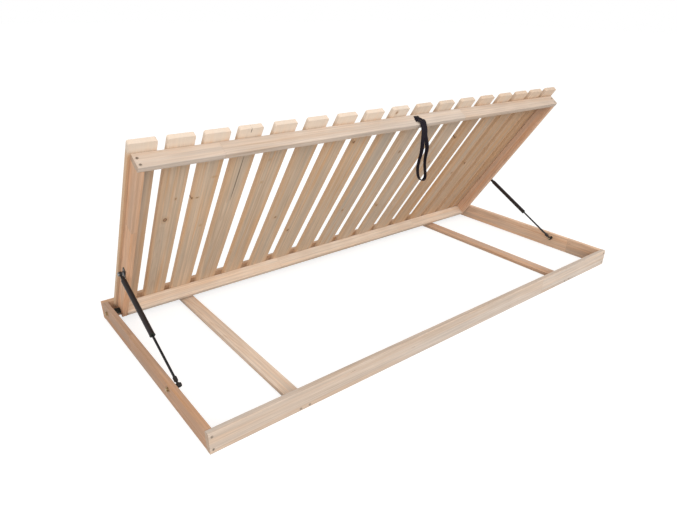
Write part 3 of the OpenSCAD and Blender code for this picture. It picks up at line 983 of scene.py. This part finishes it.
@dataclass
class PullStrap:
    """The webbing loop that hangs from the panel's front rail.

    Attributes:
        LEFT_END: The left strand on the rail's face, from its end down, in millimetres:
            along X from the strap's middle, above the pivot and off the face.
        RIGHT_END: The same of the right strand.
        HANGING: The loop down the left strand, round the bend and up the right strand,
            in millimetres from the hinge line: along X and above it.
        pose: The panel's axes.
        hinge: The line about which the hanging part swings.
        face_out: Distance from the pivot to the front rail's face.
        width: Width of the webbing.
        thickness: Thickness of the webbing.
        corner: Rounding of its edges.
        steps: Points of the fine line for each stretch of the drawn one.
        flat_to: How far below the hinge line the strands still lie flat.
        edgewise_from: How far below it they stand edgewise.
        bend: How far above and below the hinge line the strap would bend when the panel turns; not used.
    """

    ALONG = "strap_along"
    ACROSS = "strap_across"
    FACING = "strap_facing"
    LEFT_END = ((-21, -3, 0.3), (-16.5, -4, 0.4), (-12, -6.6, 1.2), (-8.6, -12, 3.0), (-5.8, -20, 5.0))
    RIGHT_END = ((-17, 9, 0.3), (-9, 7.8, 0.4), (0, 4.2, 0.6), (6, -5, 2.8), (9.6, -18, 5.0))
    HANGING = (
        (-4.4, -14), (-3, -32), (-1.8, -55), (-2, -77), (-5, -99), (-12, -121), (-17, -142),
        (-18, -158), (-15, -176), (-8, -192), (2, -202), (13, -205), (22, -202), (26, -193),
        (25, -178), (21, -160), (18.5, -143), (18.5, -126), (21, -106), (24, -84), (20, -62),
        (12.8, -36), (10.8, -14),
    )

    pose: PanelPose
    hinge: Vector
    face_out: float
    width: float
    thickness: float = 2.0 * MM
    corner: float = 0.8 * MM
    steps: int = 10
    flat_to: float = 30 * MM
    edgewise_from: float = 115 * MM
    bend: tuple[float, float] = (14 * MM, 16 * MM)

    def centre_line(self) -> tuple[list[Vector], list[float]]:
        """The strap's middle line and how far it has turned about it.

        Returns:
            The points in the frame, and for each the angle of the webbing's width
            direction about the vertical, a quarter turn down each strand.
        """
        at, lift = self.hinge, self.thickness / 2
        left, right = (
            [self.pose.place(at.x + x * MM, self.face_out + off * MM + lift, up * MM) for x, up, off in end]
            for end in (self.LEFT_END, self.RIGHT_END)
        )
        loop = [Vector((at.x + x * MM, at.y, at.z + z * MM)) for x, z in self.HANGING]
        angles = [math.pi] * len(left)
        for point in loop:
            below = at.z - self.flat_to - point.z
            share = min(1.0, max(0.0, below / (self.edgewise_from - self.flat_to)))
            angles.append(math.pi - math.pi / 2 * share * share * (3 - 2 * share))
        return left + loop + right[::-1], angles + [math.pi] * len(right)

    def line_mesh(self) -> Mesh:
        """The middle line as edges, smoothed, each point with the way its face looks.

        Returns:
            The mesh that the ribbon is swept along.
        """
        points, angles = self.centre_line()
        padded = [points[0], *points, points[-1]]
        fine: list[Vector] = []
        turn: list[float] = []
        for i in range(len(points) - 1):
            for k in range(self.steps):
                s = k / self.steps
                fine.append(catmull(padded[i:i + 4], s))
                turn.append(angles[i] + (angles[i + 1] - angles[i]) * s)
        fine.append(points[-1])
        turn.append(angles[-1])
        mesh = bpy.data.meshes.new("strap_line")
        mesh.from_pydata(fine, [(i, i + 1) for i in range(len(fine) - 1)], [])
        facing = mesh.attributes.new(self.FACING, "FLOAT_VECTOR", "POINT")
        for i, angle in enumerate(turn):
            along = (fine[min(i + 1, len(fine) - 1)] - fine[max(i - 1, 0)]).normalized()
            wide = Vector((math.cos(angle), math.sin(angle), 0))
            facing.data[i].vector = wide.cross(along).normalized()
        return mesh

    def ribbon_tree(self) -> GeometryTree:
        """The tree that sweeps the webbing's section along the line.

        Returns:
            The tree, which also stores how far along and across each point lies.
        """
        inputs = {"Geometry": "Geometry", "Material": "Material"}
        inputs |= dict.fromkeys(("Width", "Thickness", "Corner"), "Float")
        t = GeometryTree.new_group("webbing_ribbon", inputs, {"Geometry": "Geometry"})
        line = t.out(t.node("MeshToCurve", Mesh=t.given["Geometry"]))
        look = t.out(t.node("InputNamedAttribute", {"data_type": "FLOAT_VECTOR"}, Name=self.FACING))
        normal = t.out(t.node("SetCurveNormal", {"mode": "FREE"}, Curve=line, Normal=look))
        path = t.store(normal, self.ALONG, t.node("SplineParameter").outputs["Length"])
        thick, wide, corner = (t.given[name] for name in ("Thickness", "Width", "Corner"))
        section = t.out(t.node("CurvePrimitiveQuadrilateral", Width=thick, Height=wide))
        rounding = t.node("FilletCurve", {"mode": "POLY"}, Curve=section, Radius=corner, Count=3)
        spread = t.out(t.node("ResampleCurve", {"mode": "EVALUATED"}, Curve=t.out(rounding)))
        parts = t.tree.nodes.new("ShaderNodeSeparateXYZ")
        t.plug(parts, Vector=t.out(t.node("InputPosition")))
        profile = t.store(spread, self.ACROSS, parts.outputs["Y"])
        t.finish(t.out(t.node("CurveToMesh", Curve=path, Profile_Curve=profile, Fill_Caps=True)))
        return t

    def build(self) -> Object:
        """Models the strap where it hangs from the panel's front rail.

        Returns:
            The strap's object.
        """
        values = {"Width": self.width, "Thickness": self.thickness, "Corner": self.corner}
        values["Material"] = WebbingFinish().build()
        strap = self.ribbon_tree().run("pull_strap", self.line_mesh(), values)
        for face in strap.data.polygons:
            face.use_smooth = True
        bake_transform(strap)
        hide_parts("strap_tab", "strap_loop")
        log.info("strap with %d faces", len(strap.data.polygons))
        return strap


def catmull(points: list[Vector], s: float) -> Vector:
    """A point on a smooth line through four points.

    Args:
        points: The four points. The stretch runs from the second to the third.
        s: The share of the stretch.

    Returns:
        The point.
    """
    a, b, c, d = points
    ahead = 2 * b + (c - a) * s
    bend = (2 * a - 5 * b + 4 * c - d) * s * s
    return (ahead + bend + (3 * b - a - 3 * c + d) * s ** 3) / 2


@dataclass
class Studio:
    """A white studio with a pale floor, soft lamps and the photograph's camera.

    Attributes:
        eye: The camera's place.
        yaw: The camera's heading to the right of +Y, in degrees.
        pitch: Its tilt above the horizon, in degrees.
        roll: Its turn about its own axis, in degrees.
        lens: Its focal length in millimetres.
        sensor: Its sensor's width in millimetres.
        shift: The photograph's offset from the lens axis.
        ambient: Strength of the light from the front and above.
        ambient_back: Strength of the light from behind and below.
        key: Power of the main lamp in watts.
        fill: Power of the second lamp in watts.
        lamp_size: The side of each lamp's square.
        floor_half: Half of the floor's side.
        floor_drop: How far the floor lies below the bed.
    """

    eye: Vector = field(default_factory=lambda: Vector((-1.398472, -1.514167, 1.069901)))
    yaw: float = 39.342
    pitch: float = -27.2168
    roll: float = 1.091
    lens: float = 28.956
    sensor: float = 36.0
    shift: tuple[float, float] = (-0.0197, 0.0460)
    ambient: float = 0.85
    ambient_back: float = 0.52
    key: float = 95.0
    fill: float = 80.0
    lamp_size: float = 2.4
    floor_half: float = 30.0
    floor_drop: float = 0.5 * MM

    def camera(self) -> None:
        """Puts up the camera at the photograph's view."""
        yaw, pitch, roll = (math.radians(a) for a in (self.yaw, self.pitch, self.roll))
        level = Vector((math.cos(yaw), -math.sin(yaw), 0))
        ahead = Vector((math.sin(yaw) * math.cos(pitch), math.cos(yaw) * math.cos(pitch), math.sin(pitch)))
        above = level.cross(ahead)
        right = level * math.cos(roll) + above * math.sin(roll)
        up = above * math.cos(roll) - level * math.sin(roll)
        data = bpy.data.cameras.new("photo_camera")
        data.lens = self.lens
        data.sensor_width = self.sensor
        data.shift_x, data.shift_y = self.shift
        camera = put_up("photo_camera", data)
        turn = Matrix((right, up, -ahead)).transposed()
        camera.matrix_world = Matrix.Translation(self.eye) @ turn.to_4x4()
        bpy.context.scene.camera = camera

    def lamps(self) -> None:
        """Hangs two soft lamps that look at the bed's middle."""
        for name, place, power, colour in (
            ("key_lamp", Vector((1.6, -4.4, 2.6)), self.key, (1.0, 0.985, 0.96)),
            ("fill_lamp", Vector((-3.4, -3.2, 1.7)), self.fill, (1.0, 0.98, 0.96)),
        ):
            data = bpy.data.lights.new(name, "AREA")
            data.size = self.lamp_size
            data.energy = power
            data.color = colour
            turn = (Vector((0, 0, 0.25)) - place).to_track_quat("-Z", "Y").to_matrix()
            put_up(name, data).matrix_world = Matrix.Translation(place) @ turn.to_4x4()

    @staticmethod
    def show(t: ShaderTree, lit: Socket, seen: Socket, output: Node) -> None:
        """Lights with one shader, and shows another to the camera and in mirrors or glass.

        Args:
            t: The builder of the world or the floor's material.
            lit: The shader that all other rays meet.
            seen: The shader that is seen.
            output: The node that takes the result.
        """
        path = t.node("LightPath").outputs
        mirror = t.math("MAXIMUM", path["Is Glossy Ray"], path["Is Transmission Ray"])
        directly = t.math("MAXIMUM", path["Is Camera Ray"], mirror)
        t.plug(output, Surface=t.fill(t.node("MixShader"), directly, lit, seen))

    def world(self) -> None:
        """Fills the surroundings with light, and shows them white."""
        world = bpy.data.worlds.new("studio")
        world.use_nodes = True
        bpy.context.scene.world = world
        t, nodes = ShaderTree(world.node_tree), world.node_tree.nodes
        ahead = t.vector("DOT_PRODUCT", t.coordinates("Generated"), (0.0, -0.96, 0.28))
        strength = t.ramp(ahead, -0.7, 0.7, self.ambient_back, self.ambient)
        light = t.plug(nodes["Background"], Color=(1.0, 0.99, 0.98), Strength=strength)
        white = t.node("Background", Color=(1.0, 1.0, 1.0), Strength=1.0)
        self.show(t, t.out(light), t.out(white), nodes["World Output"])

    def floor(self) -> None:
        """Lays the floor, which shows white apart from the bed's soft shadow."""
        half, low = self.floor_half, -self.floor_drop
        corners = [(-half, -half, low), (half, -half, low), (half, half, low), (-half, half, low)]
        mesh = bpy.data.meshes.new("floor")
        mesh.from_pydata(corners, [], [(0, 1, 2, 3)])
        floor = put_up("floor", mesh)
        t = MaterialTree("studio_floor")
        grey = t.mix(t.noise(t.coordinates(), 40.0, 3.0), (0.36, 0.36, 0.36), (0.39, 0.39, 0.39))
        t.plug(t.shader, Base_Color=grey, Roughness=0.9, Specular_IOR_Level=0.1)
        pale, glow = t.node("BsdfDiffuse", Color=(0.42, 0.42, 0.42)), t.node("Emission", Strength=0.74)
        seen = t.fill(t.node("AddShader"), t.out(pale), t.out(glow))
        self.show(t, t.out(t.shader), seen, t.tree.nodes["Material Output"])
        put_on(floor, t.material)

    def build(self) -> None:
        """Sets up the camera, the lamps, the world and the floor."""
        bpy.context.scene.view_settings.view_transform = "Standard"
        self.camera()
        self.lamps()
        self.world()
        self.floor()
        log.info("studio with its camera at %s", tuple(round(v, 3) for v in self.eye))


def joint_named(joints: list[dict], name: str) -> dict:
    """Finds a joint of the record by its name."""
    return next(j for j in joints if j["name"] == name)


def main() -> None:
    """Builds the studio, dresses the frame and models the strap."""
    logging.basicConfig(level=logging.INFO, format="%(name)s: %(message)s")
    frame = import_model()
    nodes, joints = frame["nodes"], frame["joints"]
    Studio().build()
    pose = PanelPose.of_joint(joint_named(joints, "panel_hinge"))
    grain, mark = PineGrain().build(), KnotMark().build()
    BaseFrame(nodes, grain, mark).dress()
    SlatPanel(nodes, grain, mark, pose).dress()
    Hardware(nodes).dress()
    hinge = Vector(joint_named(joints, "strap_swing")["pos_m"])
    low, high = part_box("strap_tab")
    face_out = (hinge - pose.place(hinge.x, 0, 0)).dot(pose.out) - PullStrap.thickness / 2
    PullStrap(pose, hinge, face_out, (high.x - low.x) / 2).build()


if __name__ == "__main__":
    main()
